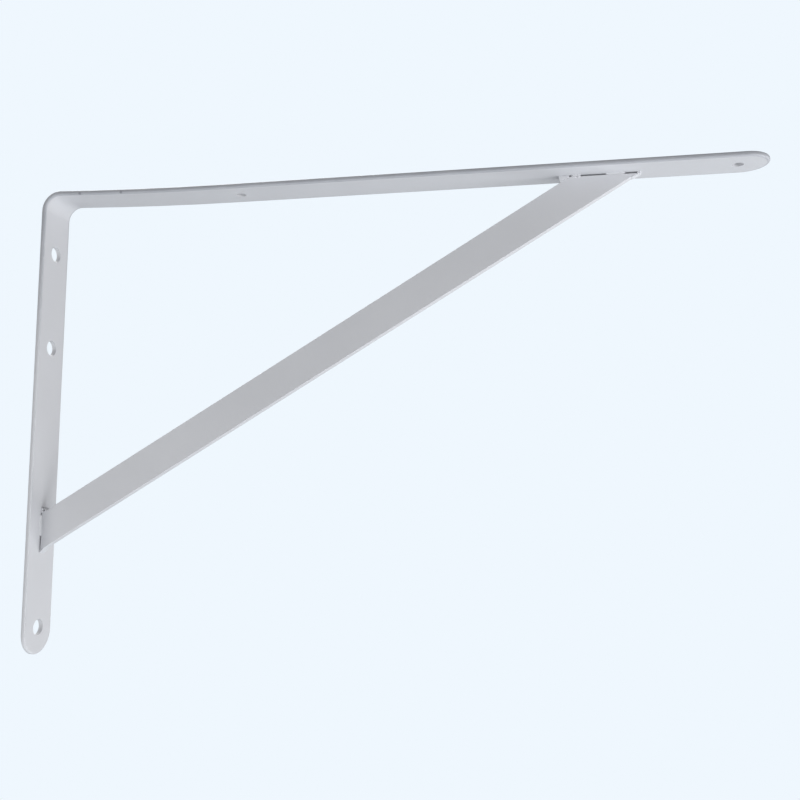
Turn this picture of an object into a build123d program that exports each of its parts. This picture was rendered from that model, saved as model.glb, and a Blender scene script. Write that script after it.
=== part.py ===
from build123d import *
import math
import os

# Braced shelf bracket: a flat steel strip bent to a right angle, and a flat-bar
# brace standing on edge across the corner, fixed by short weld beads.
#
# Millimetres. X points out from the wall along the arm, Y runs along the wall and
# Z points up. The origin is the centre of the top wall hole, on the wall plane.

# ---- driving dimensions ----------------------------------------------------

# bent strip
strip_width = 25.0
strip_thickness = 2.5
arm_length = 400.0
leg_length = 263.0
bend_radius = 11.0            # outside of the bend
edge_round = 1.0              # rolled edges of the strip

# The bend is a little tighter than square, so the arm leaves it at a slight slope
# and flattens out over its first stretch.
crown_radius = 2200.0
crown_end = 110.0             # distance from the wall at which the arm is straight

# screw holes
wall_hole_diameter = 9.0
top_hole_drop = 32.0          # below the shelf plane
middle_hole_drop = 88.0
bottom_hole_margin = 15.0     # centre to the leg's rounded end
shelf_hole_diameter = 5.5
inner_shelf_hole_reach = 118.0
outer_shelf_hole_margin = 15.0

# brace
brace_width = 18.0
brace_thickness = 5.0
brace_foot_drop = 205.0       # its lower corner on the leg, below the shelf plane
brace_toe_reach = 337.0       # its lower corner on the arm, from the wall
brace_shift_at_leg = 0.0      # its middle, off the strip's middle line
brace_shift_at_arm = 3.4
brace_edge_round = 0.3

# welds
fit_up_gap = 0.8              # between the brace's cut ends and the strip
weld_bulge = 0.2              # how far a bead swells past a flat face
weld_end_round = 0.6          # at the ends of the beads along the near face
leg_side_weld_size = 1.4
leg_side_weld_start = 1.2     # below the brace's upper corner
leg_side_weld_length = 12.0
arm_tack_size = 1.0
inner_tack_start = 1.0        # past the brace's upper corner
inner_tack_length = 5.0
outer_tack_length = 10.0
outer_tack_margin = 7.5       # before the brace's toe
arm_heel_weld_size = 5.5
arm_toe_weld_size = 3.5
leg_heel_weld_size = 3.0
leg_foot_weld_size = 2.5

# ---- worked out ------------------------------------------------------------

shelf_z = top_hole_drop
leg_bottom_z = shelf_z - leg_length
underside_z = shelf_z - strip_thickness
inner_face_x = strip_thickness
end_radius = strip_width / 2

wall_hole_heights = [
    0.0,
    top_hole_drop - middle_hole_drop,
    leg_bottom_z + bottom_hole_margin,
]
shelf_hole_reaches = [
    inner_shelf_hole_reach,
    arm_length - outer_shelf_hole_margin,
]

# The shallow arc of the arm and the tight arc of the bend touch each other, so
# their centres lie one sum of radii apart.
crown_angle = math.degrees(math.asin((crown_end - bend_radius) / (crown_radius + bend_radius)))
centre_rise = (crown_radius + bend_radius) * math.cos(math.radians(crown_angle))
bend_centre_z = shelf_z + crown_radius - centre_rise

# The brace's lower edge runs from the leg's inner face to the arm's underside.
brace_foot = Vector(inner_face_x, shelf_z - brace_foot_drop)
brace_toe = Vector(brace_toe_reach, underside_z)
brace_run = brace_toe - brace_foot
brace_direction = brace_run.normalized()
brace_angle = math.degrees(math.atan2(brace_run.Y, brace_run.X))
brace_slope = brace_run.Y / brace_run.X
edge_rise = brace_width / brace_direction.X

# The brace stands in an upright plane, turned slightly about Z because its two
# ends are off the strip's middle line by different amounts. Local X points away
# from the wall, local Y points up and local Z points to the near side.
brace_yaw = math.atan2(brace_shift_at_arm - brace_shift_at_leg, brace_toe_reach)
near_side = Vector(math.sin(brace_yaw), -math.cos(brace_yaw), 0)
along_brace = Vector(math.cos(brace_yaw), math.sin(brace_yaw), 0)
brace_plane = Plane(origin=(0, brace_shift_at_leg, 0), x_dir=along_brace, z_dir=near_side)
near_plane = brace_plane.offset(brace_thickness / 2)

# The strip's inner faces, facing the corner, and the brace's ends short of them.
leg_face = Plane(origin=(inner_face_x, 0, 0), z_dir=(1, 0, 0))
arm_face = Plane(origin=(0, 0, underside_z), z_dir=(0, 0, -1))
leg_end = leg_face.offset(fit_up_gap)
arm_end = arm_face.offset(fit_up_gap)

# Corners of the brace's cut ends, in the brace's own plane.
leg_lower_corner = brace_foot + Vector(1, brace_slope) * fit_up_gap
leg_upper_corner = leg_lower_corner + Vector(0, edge_rise)
arm_lower_corner = brace_toe - Vector(1 / brace_slope, 1) * fit_up_gap
arm_upper_corner = arm_lower_corner - Vector(edge_rise / brace_slope, 0)

# Each end of the strip, with local X pointing out of it.
strip_ends = [
    Plane(origin=(arm_length - end_radius, 0, shelf_z), x_dir=(1, 0, 0), z_dir=(0, 0, 1)),
    Plane(origin=(0, 0, leg_bottom_z + end_radius), x_dir=(0, 0, -1), z_dir=(1, 0, 0)),
]

os.makedirs("parts", exist_ok=True)

# ---- bent strip ------------------------------------------------------------

with BuildPart() as bent_strip:
    with BuildSketch(Plane.XZ) as side_profile:
        with BuildLine():
            leg_line = Line((0, leg_bottom_z), (0, bend_centre_z))
            bend_arc = JernArc(leg_line @ 1, leg_line % 1, bend_radius, -(90 + crown_angle))
            crown_arc = JernArc(bend_arc @ 1, bend_arc % 1, crown_radius, crown_angle)
            arm_line = Line(crown_arc @ 1, (arm_length, shelf_z))
            arm_tip = Line(arm_line @ 1, (arm_length, underside_z))
            under_line = Line(arm_tip @ 1, (crown_end, underside_z))
            under_arc = JernArc(
                under_line @ 1, under_line % 1, crown_radius + strip_thickness, -crown_angle
            )
            inner_arc = JernArc(
                under_arc @ 1, under_arc % 1, bend_radius - strip_thickness, 90 + crown_angle
            )
            inner_line = Line(inner_arc @ 1, (inner_face_x, leg_bottom_z))
            Line(inner_line @ 1, leg_line @ 0)
        make_face()
    extrude(amount=strip_width / 2, both=True)
    for strip_end in strip_ends:
        with BuildSketch(strip_end):
            Rectangle(strip_width, 2 * strip_width, align=(Align.MIN, Align.CENTER))
            Circle(end_radius, mode=Mode.SUBTRACT)
        extrude(amount=2 * strip_thickness, both=True, mode=Mode.SUBTRACT)
    rim_edges = bent_strip.edges().filter_by(lambda edge: edge.length > 1.5 * strip_thickness)
    fillet(rim_edges, radius=edge_round)
    with BuildSketch(Plane.YZ):
        with Locations([(0, height) for height in wall_hole_heights]):
            Circle(wall_hole_diameter / 2)
    extrude(amount=strip_thickness, mode=Mode.SUBTRACT)
    with BuildSketch(Plane.XY.offset(shelf_z)):
        with Locations([(reach, 0) for reach in shelf_hole_reaches]):
            Circle(shelf_hole_diameter / 2)
    extrude(amount=-strip_thickness, mode=Mode.SUBTRACT)

bent_strip.part.label = "bent_strip"
export_step(bent_strip.part, "parts/bent_strip.step")

# ---- brace -----------------------------------------------------------------

with BuildPart() as brace:
    with BuildSketch(brace_plane):
        with Locations(Location(brace_foot + brace_run / 2, brace_angle)):
            Rectangle(
                brace_run.length + 4 * brace_width, brace_width, align=(Align.CENTER, Align.MIN)
            )
    extrude(amount=brace_thickness / 2, both=True)
    fillet(brace.edges().group_by(SortBy.LENGTH)[-1], radius=brace_edge_round)
    split(bisect_by=leg_end, keep=Keep.TOP)
    split(bisect_by=arm_end, keep=Keep.TOP)

brace.part.label = "brace"
export_step(brace.part, "parts/brace.step")

# ---- welds across the brace's thickness, at its four corners ----------------

# Each has the brace's corner, the way across the gap to the strip, the way along
# the strip, the way along the brace's narrow face, and the bead's size.
to_arm = Vector(0, 1)
to_leg = Vector(-1, 0)
corner_welds = {
    "arm_heel_weld": (arm_upper_corner, to_arm, Vector(-1, 0), -brace_direction, arm_heel_weld_size),
    "arm_toe_weld": (arm_lower_corner, to_arm, Vector(1, 0), -brace_direction, arm_toe_weld_size),
    "leg_heel_weld": (leg_upper_corner, to_leg, Vector(0, 1), brace_direction, leg_heel_weld_size),
    "leg_foot_weld": (leg_lower_corner, to_leg, Vector(0, -1), brace_direction, leg_foot_weld_size),
}

for weld_name, (corner, to_strip, along_strip, along_edge, size) in corner_welds.items():
    # The section runs on into the strip and is then cut back to the strip's face.
    strip_root = corner + to_strip * 2 * fit_up_gap
    strip_point = strip_root + along_strip * size
    brace_point = corner + along_edge * size
    chord_middle = (strip_point + brace_point) / 2
    crest = chord_middle + (chord_middle - corner).normalized() * weld_bulge
    with BuildPart() as corner_weld:
        with BuildSketch(near_plane):
            with BuildLine():
                Polyline(strip_point, strip_root, corner, brace_point)
                ThreePointArc(brace_point, crest, strip_point)
            make_face()
        extrude(amount=-brace_thickness)
        split(bisect_by=leg_face, keep=Keep.TOP)
        split(bisect_by=arm_face, keep=Keep.TOP)
    corner_weld.part.label = weld_name
    export_step(corner_weld.part, f"parts/{weld_name}.step")

# ---- welds along the brace's near face -------------------------------------


def seam_section(run, height, strip_way, bead_way):
    """Plane across a bead that starts on the near face, at a run and a height."""
    start = near_plane.origin + along_brace * run + Vector(0, 0, height)
    return Plane(origin=start, x_dir=strip_way, z_dir=bead_way)


# Local X of each section runs along the strip, and the near face leaves the corner
# in the way given. The beads climb the leg, and run outwards along the arm.
near_side_of_leg = Vector(0, -1, 0)
upwards = Vector(0, 0, 1)
face_way_at_leg = Vector(-along_brace.Y, along_brace.X)
face_way_at_arm = Vector(0, 1)

leg_seam_run = (inner_face_x - near_plane.origin.X) / along_brace.X
leg_seam_height = leg_upper_corner.Y - leg_side_weld_start - leg_side_weld_length
inner_tack_run = arm_upper_corner.X + inner_tack_start
outer_tack_run = brace_toe_reach - outer_tack_margin - outer_tack_length

leg_section = seam_section(leg_seam_run, leg_seam_height, near_side_of_leg, upwards)
inner_section = seam_section(inner_tack_run, underside_z, near_side, along_brace)
outer_section = seam_section(outer_tack_run, underside_z, near_side, along_brace)

side_welds = {
    "leg_side_weld": (leg_section, face_way_at_leg, leg_side_weld_size, leg_side_weld_length),
    "arm_inner_tack": (inner_section, face_way_at_arm, arm_tack_size, inner_tack_length),
    "arm_outer_tack": (outer_section, face_way_at_arm, arm_tack_size, outer_tack_length),
}

for weld_name, (section, face_way, size, length) in side_welds.items():
    strip_point = Vector(size, 0)
    brace_point = face_way * (fit_up_gap + size)
    chord_middle = (strip_point + brace_point) / 2
    crest = chord_middle + chord_middle.normalized() * weld_bulge
    with BuildPart() as side_weld:
        with BuildSketch(section):
            with BuildLine():
                Polyline(strip_point, (0, 0), brace_point)
                ThreePointArc(brace_point, crest, strip_point)
            make_face()
        extrude(amount=length)
        fillet(side_weld.edges().filter_by(GeomType.CIRCLE), radius=weld_end_round)
    side_weld.part.label = weld_name
    export_step(side_weld.part, f"parts/{weld_name}.step")
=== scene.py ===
# Braced shelf bracket in satin white powder coat.
#
# Metres, in the CAD frame: X points out from the wall, Y along the wall and Z up,
# with the origin at the top wall hole. The tables of beads are in millimetres.

import math

import bmesh
import bpy
from mathutils import Matrix, Vector, noise


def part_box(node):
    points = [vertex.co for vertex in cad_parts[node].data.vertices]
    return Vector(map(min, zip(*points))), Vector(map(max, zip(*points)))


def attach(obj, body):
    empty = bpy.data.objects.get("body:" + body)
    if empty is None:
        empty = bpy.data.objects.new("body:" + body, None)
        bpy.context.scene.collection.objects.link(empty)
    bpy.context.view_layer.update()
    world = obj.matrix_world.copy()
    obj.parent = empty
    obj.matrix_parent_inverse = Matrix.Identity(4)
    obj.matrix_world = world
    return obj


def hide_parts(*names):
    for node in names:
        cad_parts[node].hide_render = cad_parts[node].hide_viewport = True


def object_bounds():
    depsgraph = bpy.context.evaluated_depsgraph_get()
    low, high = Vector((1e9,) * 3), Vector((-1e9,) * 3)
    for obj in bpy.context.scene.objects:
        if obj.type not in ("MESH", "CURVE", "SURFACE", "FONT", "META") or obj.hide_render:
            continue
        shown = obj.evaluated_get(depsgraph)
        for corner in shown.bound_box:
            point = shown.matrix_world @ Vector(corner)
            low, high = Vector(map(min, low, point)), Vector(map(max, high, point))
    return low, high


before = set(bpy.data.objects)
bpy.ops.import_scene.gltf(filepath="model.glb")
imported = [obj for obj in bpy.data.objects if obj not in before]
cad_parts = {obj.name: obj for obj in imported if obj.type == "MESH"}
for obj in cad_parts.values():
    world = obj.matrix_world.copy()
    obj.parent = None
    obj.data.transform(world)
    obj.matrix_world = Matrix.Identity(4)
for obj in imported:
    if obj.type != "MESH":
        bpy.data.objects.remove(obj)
cad_low, cad_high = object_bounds()
cad_centre = (cad_low + cad_high) / 2

MM = 0.001

# Linear colours.
BACKDROP = (0.863, 0.930, 0.991)
COAT = (0.600, 0.610, 0.640)
COAT_THIN = (0.560, 0.570, 0.600)
# Painted shade for the strip's rolled edges, darker up the arm, partly a thinner coat.
COAT_EDGE_SHADE = (0.370, 0.384, 0.420)
COAT_PIT = (0.160, 0.165, 0.185)

# ---- node helpers -----------------------------------------------------------


def add_node(tree, kind, settings=None, **sockets):
    """A shader node with its settings and the values of its named sockets."""
    made = tree.nodes.new(kind)
    for key, value in (settings or {}).items():
        setattr(made, key, value)
    for key, value in sockets.items():
        made.inputs[key.replace("_", " ")].default_value = value
    return made


def remap(tree, value, low, high, out_low, out_high):
    """The value's range from low to high, stretched to the new range and clamped."""
    made = tree.nodes.new("ShaderNodeMapRange")
    made.clamp = True
    for index, number in enumerate((low, high, out_low, out_high), 1):
        made.inputs[index].default_value = number
    tree.links.new(value, made.inputs[0])
    return made.outputs[0]


def mix_colour(tree, factor, first, second):
    """A blend of two colours, each a tuple or a node's output."""
    made = tree.nodes.new("ShaderNodeMix")
    made.data_type = "RGBA"
    tree.links.new(factor, made.inputs[0])
    for index, colour in ((6, first), (7, second)):
        if isinstance(colour, tuple):
            made.inputs[index].default_value = (*colour, 1)
        else:
            tree.links.new(colour, made.inputs[index])
    return made.outputs[2]


def times(tree, first, second):
    """The product of two outputs."""
    made = add_node(tree, "ShaderNodeMath", {"operation": "MULTIPLY"})
    for index, factor in enumerate((first, second)):
        tree.links.new(factor, made.inputs[index])
    return made.outputs[0]


def distance_from(tree, place, point):
    """The distance between the place being shaded and a fixed point."""
    made = add_node(tree, "ShaderNodeVectorMath", {"operation": "DISTANCE"})
    tree.links.new(place, made.inputs[0])
    made.inputs[1].default_value = point
    return made.outputs["Value"]


# ---- powder coat ------------------------------------------------------------

# Scales of the noises and cells, in waves or cells per metre.
CLOUD_SCALE = 22
PATCH_SCALE = 90
PINHOLE_SCALE = 160
GLOSS_SCALE = 260
GRAIN_SCALE = 3500

# The painted shade on the strip's rolled edges, partly a thinner coat: how far inside
# its side it starts and is full, and the heights at which it is faintest and strongest.
EDGE_START = 1.7 * MM
EDGE_FULL = 0.5 * MM
EDGE_FAINT_Z = -70 * MM
EDGE_STRONG_Z = 20 * MM
EDGE_FAINTEST = 0.12


def coat_noise(tree, place, scale, detail, seed):
    """Noise in object space: scale is in waves per metre."""
    settings = {"noise_dimensions": "4D"}
    made = add_node(tree, "ShaderNodeTexNoise", settings, Scale=scale, Detail=detail, W=seed)
    tree.links.new(place, made.inputs["Vector"])
    return made.outputs["Fac"]


def pinholes(tree, place, share):
    """A mask of small round dots, in that share of the cells of a Voronoi pattern."""
    cells = add_node(tree, "ShaderNodeTexVoronoi", Scale=PINHOLE_SCALE, Randomness=1.0)
    tree.links.new(place, cells.inputs["Vector"])
    dot = remap(tree, cells.outputs["Distance"], 0.03, 0.06, 1, 0)
    channels = tree.nodes.new("ShaderNodeSeparateColor")
    tree.links.new(cells.outputs["Color"], channels.inputs[0])
    chosen = remap(tree, channels.outputs[0], share, share + 0.001, 1, 0)
    return times(tree, dot, chosen)


def rolled_edge_shade(tree, place, half_width, seed):
    """A mask of painted shade on the strip's rolled edges, round the arm's tip too, partly
    standing for a thinner coat.

    It is full along the arm and fades down the leg, as the painted shade is deepest high
    up, and is slightly patchy."""
    axes = tree.nodes.new("ShaderNodeSeparateXYZ")
    tree.links.new(place, axes.inputs[0])
    tip_centre_x = cad_high.x - half_width
    past_tip = remap(tree, axes.outputs["X"], tip_centre_x, cad_high.x, 0, half_width)
    outwards = tree.nodes.new("ShaderNodeCombineXYZ")
    tree.links.new(past_tip, outwards.inputs["X"])
    tree.links.new(axes.outputs["Y"], outwards.inputs["Y"])
    side = add_node(tree, "ShaderNodeVectorMath", {"operation": "LENGTH"})
    tree.links.new(outwards.outputs[0], side.inputs[0])
    start, full = half_width - EDGE_START, half_width - EDGE_FULL
    edge = remap(tree, side.outputs["Value"], start, full, 0, 1)
    # The painted shade is strongest high up, where little light falls from above.
    height = remap(tree, axes.outputs["Z"], EDGE_FAINT_Z, EDGE_STRONG_Z, EDGE_FAINTEST, 1)
    patchy = remap(tree, coat_noise(tree, place, PATCH_SCALE, 2, seed), 0.3, 0.7, 0.85, 1.0)
    return times(tree, times(tree, edge, height), patchy)


def coat_relief(tree, shader, place, grain, pits, peel_wave, peel_height, seed):
    """Bump of the orange peel, the grain and the pinholes, one on the other."""
    peel = add_node(tree, "ShaderNodeBump", Strength=0.6, Distance=peel_height * MM)
    waves = coat_noise(tree, place, 1 / (peel_wave * MM), 2, seed)
    tree.links.new(waves, peel.inputs["Height"])
    fine = add_node(tree, "ShaderNodeBump", Strength=0.35, Distance=0.006 * MM)
    tree.links.new(grain, fine.inputs["Height"])
    tree.links.new(peel.outputs[0], fine.inputs["Normal"])
    sunk = add_node(tree, "ShaderNodeBump", {"invert": True}, Strength=0.8, Distance=0.05 * MM)
    tree.links.new(pits, sunk.inputs["Height"])
    tree.links.new(fine.outputs[0], sunk.inputs["Normal"])
    tree.links.new(sunk.outputs[0], shader.inputs["Normal"])


def powder_coat(name, seed, peel_wave, peel_height, pit_share, half_width=None, dents=()):
    """Satin powder coat: orange peel, fine grain, faint cloudiness and pinholes.

    peel_wave and peel_height are the size of the orange peel in millimetres.
    pit_share is the share of pinhole cells that show. half_width is half of the
    strip's width, whose rolled edges get painted shade in a darker grey, partly a thinner
    coat. A dent is the place and radius of a small dark mark, in metres."""
    material = bpy.data.materials.new(name)
    material.use_nodes = True
    tree = material.node_tree
    shader = tree.nodes["Principled BSDF"]
    place = tree.nodes.new("ShaderNodeTexCoord").outputs["Object"]

    # The coat is slightly thicker in some places than in others.
    cloud = remap(tree, coat_noise(tree, place, CLOUD_SCALE, 3, seed), 0.35, 0.65, 0, 0.55)
    colour = mix_colour(tree, cloud, COAT, COAT_THIN)
    grain = coat_noise(tree, place, GRAIN_SCALE, 2, seed + 1)
    colour = mix_colour(tree, remap(tree, grain, 0.3, 0.7, 0, 0.12), colour, COAT_THIN)
    pits = pinholes(tree, place, pit_share)
    colour = mix_colour(tree, pits, colour, COAT_PIT)
    if half_width:
        # Painted shade on the rolled edges, deepest high up, partly a thinner coat.
        edge_shade_and_thin_coat = rolled_edge_shade(tree, place, half_width, seed + 5)
        colour = mix_colour(tree, edge_shade_and_thin_coat, colour, COAT_EDGE_SHADE)
    for dent_place, dent_radius in dents:
        away = distance_from(tree, place, dent_place)
        dent = remap(tree, away, dent_radius * 0.4, dent_radius, 0.7, 0)
        colour = mix_colour(tree, dent, colour, COAT_PIT)
    tree.links.new(colour, shader.inputs["Base Color"])

    gloss = coat_noise(tree, place, GLOSS_SCALE, 3, seed + 2)
    tree.links.new(remap(tree, gloss, 0.3, 0.7, 0.40, 0.50), shader.inputs["Roughness"])
    shader.inputs["Specular IOR Level"].default_value = 0.4
    coat_relief(tree, shader, place, grain, pits, peel_wave, peel_height, seed + 3)
    return material


strip_low, strip_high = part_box("bent_strip")
dents = [
    (Vector((24 * MM, strip_low.y, 31.8 * MM)), 1.2 * MM),
    (Vector((50 * MM, strip_low.y, 31.0 * MM)), 1.1 * MM),
]
strip_coat = powder_coat(
    "strip_coat",
    seed=3.1,
    peel_wave=1.1,
    peel_height=0.020,
    pit_share=0.03,
    half_width=strip_high.y,
    dents=dents,
)
brace_coat = powder_coat(
    "brace_coat", seed=8.7, peel_wave=1.2, peel_height=0.020, pit_share=0.03
)
weld_coat = powder_coat(
    "weld_coat", seed=5.2, peel_wave=0.6, peel_height=0.035, pit_share=0.12
)

for node_name, coat in (("bent_strip", strip_coat), ("brace", brace_coat)):
    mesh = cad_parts[node_name].data
    mesh.materials.clear()
    mesh.materials.append(coat)

# ---- weld beads -------------------------------------------------------------

# Lumps are fractal noise of this roughness, gap between octaves and number of octaves.
LUMP_FRACTAL = (0.8, 2.1, 3)

# Ripples of the corner beads: how much they lean with height, and how far, as a share
# of a ripple, and over what length in millimetres they wander.
RIPPLE_LEAN = 0.6
WOBBLE = 0.4
WOBBLE_WAVE = 3

# Fillets along the near face, in millimetres: length of a step along the seam, depth
# to which their sides are sunk in the metal, and length over which their size varies.
FILLET_STEP = 0.12
FILLET_SUNK = 0.2
UNEVEN_WAVE = 2.5

# Steps across a fillet's face, the power that rounds its ends, and as shares of its
# full size, the least size at its ends and how much the size varies.
FILLET_STEPS_ACROSS = 14
FILLET_END_POWER = 5
FILLET_END = 0.04
UNEVEN = 0.25

NEAR_WAY = Vector((0, -1, 0))
UP = (0, 0, 1)
DOWN = (0, 0, -1)
OUT = (1, 0, 0)


def dress_bead(bead, node_name):
    """Coats a bead and puts it in place of its CAD node."""
    for polygon in bead.data.polygons:
        polygon.use_smooth = True
    bead.data.materials.clear()
    bead.data.materials.append(weld_coat)
    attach(bead, "root")
    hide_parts(node_name)


def fine_copy(node_name, voxel):
    """A copy of a CAD node, remeshed with that voxel size and smoothed a little."""
    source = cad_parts[node_name]
    copied = bpy.data.objects.new(node_name + "_bead", source.data.copy())
    bpy.context.collection.objects.link(copied)
    remesh = copied.modifiers.new("remesh", "REMESH")
    remesh.mode = "VOXEL"
    remesh.voxel_size = voxel * MM
    smooth = copied.modifiers.new("smooth", "SMOOTH")
    smooth.factor = 0.5
    smooth.iterations = 3
    evaluated = copied.evaluated_get(bpy.context.evaluated_depsgraph_get())
    mesh = bpy.data.meshes.new_from_object(evaluated)
    copied.modifiers.clear()
    copied.data = mesh
    return copied


def dish(distance, radius, depth):
    """How deep a round pit is at that distance from its middle."""
    reach = distance / radius
    return depth * (1 - reach * reach) ** 2 if reach < 1 else 0


def corner_bead(node_name, voxel, swell, ripple, ripple_wave, lump, lump_wave, seed, pits=()):
    """A weld bead in place of a CAD one at a corner of the brace.

    The CAD bead is remeshed finely and its faces are pushed out along their normals,
    by ripples across the seam and by uneven lumps, and in at the pits. A pit is its
    place from the box's low corner, its radius and its depth. All in millimetres."""
    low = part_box(node_name)[0]
    bead = fine_copy(node_name, voxel)
    shaped = bmesh.new()
    shaped.from_mesh(bead.data)
    shaped.normal_update()
    moves = []
    for vertex in shaped.verts:
        place = vertex.co / MM
        run = place.x - low.x / MM + RIPPLE_LEAN * (place.z - low.z / MM)
        wobble = noise.noise(place / WOBBLE_WAVE + Vector((seed, 0, 0)))
        crest = abs(math.sin(math.pi * (run / ripple_wave + WOBBLE * wobble)))
        lumps = noise.fractal(place / lump_wave + Vector((0, seed, 0)), *LUMP_FRACTAL)
        push = swell + ripple * crest + lump * lumps
        for pit_place, pit_radius, pit_depth in pits:
            away = (place - low / MM - Vector(pit_place)).length
            push -= dish(away, pit_radius, pit_depth)
        moves.append(vertex.normal * push * MM)
    for vertex, move in zip(shaped.verts, moves):
        vertex.co += move
    shaped.to_mesh(bead.data)
    shaped.free()
    dress_bead(bead, node_name)


def skin(name, rows):
    """A closed mesh over rows of points in millimetres, each row one closed ring."""
    points = [point * MM for row in rows for point in row]
    sides = len(rows[0])
    last = (len(rows) - 1) * sides
    faces = []
    for first_of_row in range(0, last, sides):
        for side in range(sides):
            first = first_of_row + side
            second = first_of_row + (side + 1) % sides
            faces.append((first, second, second + sides, first + sides))
    faces.append(tuple(reversed(range(sides))))
    faces.append(tuple(last + side for side in range(sides)))
    mesh = bpy.data.meshes.new(name)
    mesh.from_pydata(points, [], faces)
    shaped = bmesh.new()
    shaped.from_mesh(mesh)
    bmesh.ops.recalc_face_normals(shaped, faces=shaped.faces)
    shaped.to_mesh(mesh)
    shaped.free()
    return mesh


def seam_bead(node_name, seam, root_side, face_way, scale, hollow, lump, lump_wave, seed, pits=()):
    """A hollow fillet in place of a CAD bead between the strip and the near face.

    seam is the way that it runs, and face_way the way that the near face leaves the
    strip. root_side says which Z of the CAD bead's box the seam starts from. Its
    sizes come from that box. scale shrinks it, and hollow is how far its face dips.
    A pit is a place along it from 0 to 1, a place across it from 0 to 1, its radius
    and its depth. All in millimetres."""
    low, high = (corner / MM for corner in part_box(node_name))
    face_way = Vector(face_way)
    along = Vector(seam)
    length = (high - low).dot(along)
    strip_size = (high.y - low.y) * scale
    face_size = abs((high - low).dot(face_way)) * scale
    root = Vector((low.x, high.y, low.z if root_side == "low" else high.z))
    out_way = (NEAR_WAY * face_size + face_way * strip_size).normalized()
    stations = int(length / FILLET_STEP)
    rows = []
    for station in range(stations + 1):
        run = station / stations
        close = max(FILLET_END, (1 - abs(2 * run - 1) ** FILLET_END_POWER) ** 0.5)
        middle = root + along * length * run
        uneven = 1 + UNEVEN * noise.noise(Vector((run * length / UNEVEN_WAVE, seed, 0)))
        row = [middle - face_way * FILLET_SUNK + NEAR_WAY * strip_size * close * uneven]
        for step in range(FILLET_STEPS_ACROSS + 1):
            turn = step / FILLET_STEPS_ACROSS
            point = middle + NEAR_WAY * strip_size * (1 - turn) * close * uneven
            point += face_way * face_size * turn * close * uneven
            arch = 4 * turn * (1 - turn)
            lumps = noise.fractal(point / lump_wave + Vector((seed, 0, 0)), *LUMP_FRACTAL)
            push = (lump * lumps - hollow * close) * arch
            for pit_run, pit_turn, pit_radius, pit_depth in pits:
                away = math.hypot((run - pit_run) * length, (turn - pit_turn) * face_size)
                push -= dish(away, pit_radius, pit_depth)
            row.append(point + out_way * push)
        row.append(middle + face_way * face_size * close * uneven - NEAR_WAY * FILLET_SUNK)
        row.append(middle - face_way * FILLET_SUNK - NEAR_WAY * FILLET_SUNK)
        rows.append(row)
    bead = bpy.data.objects.new(node_name + "_bead", skin(node_name + "_bead", rows))
    bpy.context.collection.objects.link(bead)
    dress_bead(bead, node_name)


corner_beads = {
    "arm_heel_weld": dict(
        voxel=0.12, swell=0.06, ripple=0.03, ripple_wave=1.8, lump=0.06, lump_wave=1.8, seed=1.0
    ),
    "arm_toe_weld": dict(
        voxel=0.10, swell=0.02, ripple=0.10, ripple_wave=1.0, lump=0.34, lump_wave=0.8, seed=4.0
    ),
    "leg_heel_weld": dict(
        voxel=0.10,
        swell=0.10,
        ripple=0.05,
        ripple_wave=1.4,
        lump=0.10,
        lump_wave=1.2,
        seed=5.0,
        pits=[((1.7, 0.0, 1.6), 1.0, 1.8)],
    ),
    "leg_foot_weld": dict(
        voxel=0.10, swell=0.02, ripple=0.05, ripple_wave=1.4, lump=0.12, lump_wave=1.0, seed=6.0
    ),
}
for node_name, shape in corner_beads.items():
    corner_bead(node_name, **shape)

leg_seam = dict(seam=UP, root_side="low", face_way=OUT)
arm_seam = dict(seam=OUT, root_side="high", face_way=DOWN)
seam_beads = {
    "leg_side_weld": dict(
        leg_seam, scale=0.55, hollow=0.16, lump=0.05, lump_wave=1.6, seed=7.0
    ),
    "arm_inner_tack": dict(
        arm_seam,
        scale=0.85,
        hollow=0.05,
        lump=0.45,
        lump_wave=0.7,
        seed=2.0,
        pits=[(0.62, 0.5, 0.7, 1.0)],
    ),
    "arm_outer_tack": dict(
        arm_seam, scale=0.5, hollow=0.18, lump=0.04, lump_wave=1.5, seed=3.0
    ),
}
for node_name, shape in seam_beads.items():
    seam_bead(node_name, **shape)

# ---- floor ------------------------------------------------------------------

FLOOR_DROP = 0.85
FLOOR_RADIUS = 1.30
FLOOR_SIDES = 96

# Seen by the camera, the paper's own shading, shadow included, fades into the plain
# backdrop, from this share within the inner radius to all of it at the rim.
PLAIN_SHARE = 0.6
PLAIN_INNER_RADIUS = 0.2

floor_centre = Vector((cad_centre.x, cad_centre.y, cad_low.z - FLOOR_DROP))


def floor_rim():
    for side in range(FLOOR_SIDES):
        turn = math.tau * side / FLOOR_SIDES
        x = floor_centre.x + FLOOR_RADIUS * math.cos(turn)
        y = floor_centre.y + FLOOR_RADIUS * math.sin(turn)
        yield (x, y, floor_centre.z)


def floor_paper():
    """Matt paper in the backdrop's colour."""
    material = bpy.data.materials.new("floor_paper")
    material.use_nodes = True
    tree = material.node_tree
    shader = tree.nodes["Principled BSDF"]
    shader.inputs["Base Color"].default_value = (*BACKDROP, 1)
    shader.inputs["Roughness"].default_value = 0.9
    light_path = tree.nodes.new("ShaderNodeLightPath")
    place = tree.nodes.new("ShaderNodeTexCoord").outputs["Object"]
    from_centre = distance_from(tree, place, floor_centre)
    plainness = remap(tree, from_centre, PLAIN_INNER_RADIUS, FLOOR_RADIUS, PLAIN_SHARE, 1)
    plain = add_node(tree, "ShaderNodeEmission", Color=(*BACKDROP, 1), Strength=1.0)
    paper = tree.nodes.new("ShaderNodeMixShader")
    share = times(tree, light_path.outputs["Is Camera Ray"], plainness)
    tree.links.new(share, paper.inputs[0])
    tree.links.new(shader.outputs[0], paper.inputs[1])
    tree.links.new(plain.outputs[0], paper.inputs[2])
    tree.links.new(paper.outputs[0], tree.nodes["Material Output"].inputs["Surface"])
    return material


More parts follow.
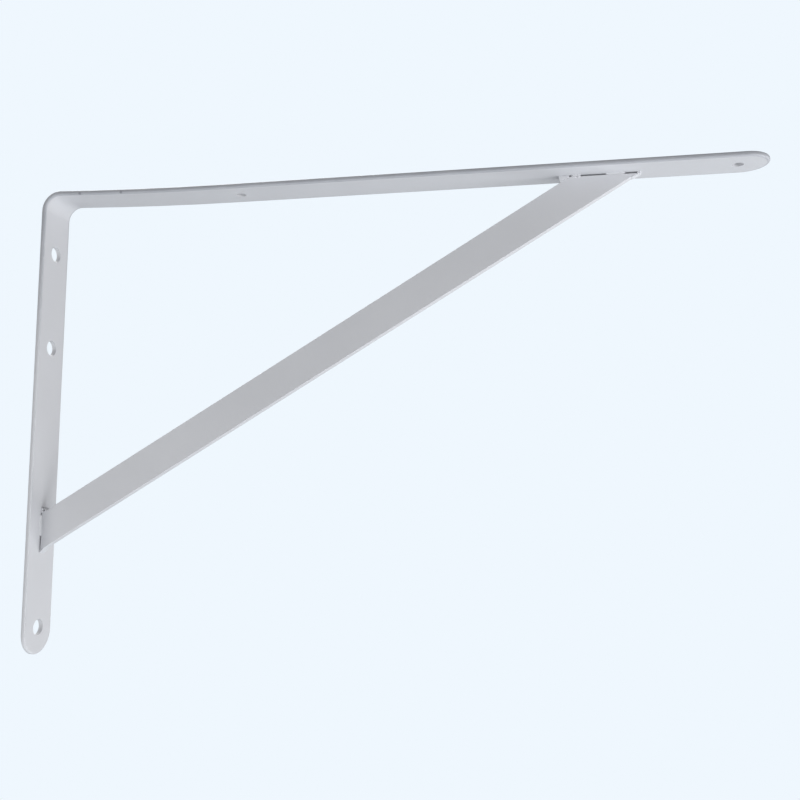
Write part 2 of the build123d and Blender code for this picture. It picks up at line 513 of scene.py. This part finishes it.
floor_mesh = bpy.data.meshes.new("floor")
floor_mesh.from_pydata(list(floor_rim()), [], [range(FLOOR_SIDES)])
floor_mesh.materials.append(floor_paper())
floor = bpy.data.objects.new("floor", floor_mesh)
bpy.context.collection.objects.link(floor)

# ---- world and lamps --------------------------------------------------------

AMBIENT_STRENGTH = 0.22

world = bpy.data.worlds.new("studio")
bpy.context.scene.world = world
world.use_nodes = True
tree = world.node_tree
tree.nodes.clear()
light_path = tree.nodes.new("ShaderNodeLightPath")
seen = add_node(tree, "ShaderNodeBackground", Color=(*BACKDROP, 1), Strength=1.0)
ambient = add_node(tree, "ShaderNodeBackground", Color=(1, 1, 1, 1), Strength=AMBIENT_STRENGTH)
blend = tree.nodes.new("ShaderNodeMixShader")
output = tree.nodes.new("ShaderNodeOutputWorld")
tree.links.new(light_path.outputs["Is Camera Ray"], blend.inputs[0])
tree.links.new(ambient.outputs[0], blend.inputs[1])
tree.links.new(seen.outputs[0], blend.inputs[2])
tree.links.new(blend.outputs[0], output.inputs[0])


def softbox(name, way, distance, size, watts):
    """A round softbox that looks at the middle of the object from the given way."""
    data = bpy.data.lights.new(name, "AREA")
    data.shape = "DISK"
    data.size = size
    data.energy = watts
    lamp = bpy.data.objects.new(name, data)
    bpy.context.collection.objects.link(lamp)
    way = Vector(way).normalized()
    lamp.location = cad_centre + way * distance
    lamp.rotation_euler = way.to_track_quat("Z", "Y").to_euler()
    lamp.visible_camera = False


lamps = {
    "front_left": dict(way=(-0.6, -0.8, -0.1), distance=1.1, size=0.8, watts=2.5),
    "front_right": dict(way=(0.5, -0.85, -0.1), distance=1.1, size=0.8, watts=3.2),
    "low_left": dict(way=(-0.35, -0.55, -0.75), distance=1.0, size=0.7, watts=1.9),
    "low_right": dict(way=(0.95, -0.15, -0.35), distance=1.0, size=0.7, watts=6.6),
    "low_back": dict(way=(0.5, 0.55, -0.65), distance=1.0, size=0.7, watts=1.4),
    "right_back": dict(way=(0.85, 0.5, -0.1), distance=1.1, size=0.8, watts=2.7),
    "high_back": dict(way=(-0.5, 0.45, 0.75), distance=1.2, size=0.9, watts=11.0),
}
for lamp_name, lamp in lamps.items():
    softbox(lamp_name, **lamp)

# ---- camera -----------------------------------------------------------------

AZIMUTH, ELEVATION, ROLL = (math.radians(angle) for angle in (11.848, -5.532, 0.582))
DISTANCE = 0.4683
AIM = Vector((0.21134, 0, -0.08841))
LENS = 39.50
SENSOR = 36.0
CLIP_START = 0.01

level = math.cos(ELEVATION)
back = Vector((math.sin(AZIMUTH) * level, -math.cos(AZIMUTH) * level, math.sin(ELEVATION)))
right = Vector((math.cos(AZIMUTH), math.sin(AZIMUTH), 0))
up = back.cross(right)
rolled_right = right * math.cos(ROLL) + up * math.sin(ROLL)
rolled_up = up * math.cos(ROLL) - right * math.sin(ROLL)
camera_data = bpy.data.cameras.new("camera")
camera_data.lens = LENS
camera_data.sensor_width = SENSOR
camera_data.clip_start = CLIP_START
camera = bpy.data.objects.new("camera", camera_data)
bpy.context.collection.objects.link(camera)
pose = Matrix((rolled_right, rolled_up, back)).transposed().to_4x4()
pose.translation = AIM + back * DISTANCE
camera.matrix_world = pose
bpy.context.scene.camera = camera
bpy.context.scene.view_settings.view_transform = "Standard"
